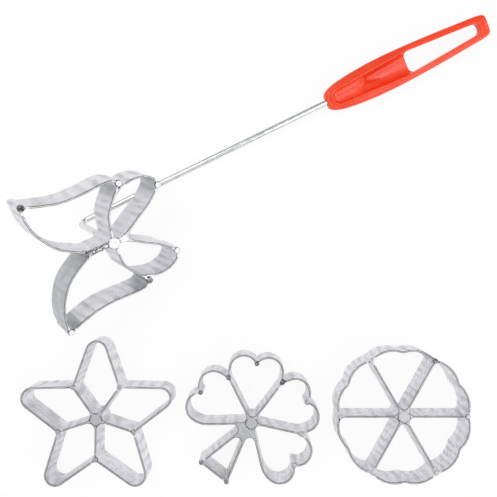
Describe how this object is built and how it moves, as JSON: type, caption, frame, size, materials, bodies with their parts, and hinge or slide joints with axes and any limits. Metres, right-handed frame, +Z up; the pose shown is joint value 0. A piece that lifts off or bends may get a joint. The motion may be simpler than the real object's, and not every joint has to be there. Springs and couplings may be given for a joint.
{
  "type": "rosette iron",
  "caption": "Rosette iron with a bent steel rod and a slotted grip, a butterfly mould screwed on its end, and loose star, clover and wheel moulds.",
  "frame": {"origin": "middle of the set's footprint, on the surface that it lies on", "axes": "+Z up; +X to the right and +Y away, as in the view from above with the loose moulds in front"},
  "size_m": [0.2796, 0.2798, 0.0775],
  "materials": {
    "red_plastic": "glossy, moulded",
    "chromed_steel": "bright plated wire",
    "cast_aluminium": "as cast, with ground rims"
  },
  "bodies": {
    "iron": {"rod": "chromed_steel", "grip": "red_plastic"},
    "butterfly": {"butterfly_mould": "cast_aluminium"},
    "star": {"star_mould": "cast_aluminium"},
    "clover": {"clover_mould": "cast_aluminium"},
    "wheel": {"wheel_mould": "cast_aluminium"}
  },
  "joints": [
    {"name": "butterfly_unscrew", "type": "slide", "parent": "iron", "child": "butterfly", "axis": [0.5888, -0.2671, 0.7629], "range_m": [0, 0.018]},
    {"name": "star_lift", "type": "slide", "parent": "iron", "child": "star", "axis": [0, 0, 1], "range_m": [0, 0.06]},
    {"name": "clover_lift", "type": "slide", "parent": "iron", "child": "clover", "axis": [0, 0, 1], "range_m": [0, 0.06]},
    {"name": "wheel_lift", "type": "slide", "parent": "iron", "child": "wheel", "axis": [0, 0, 1], "range_m": [0, 0.06]}
  ]
}
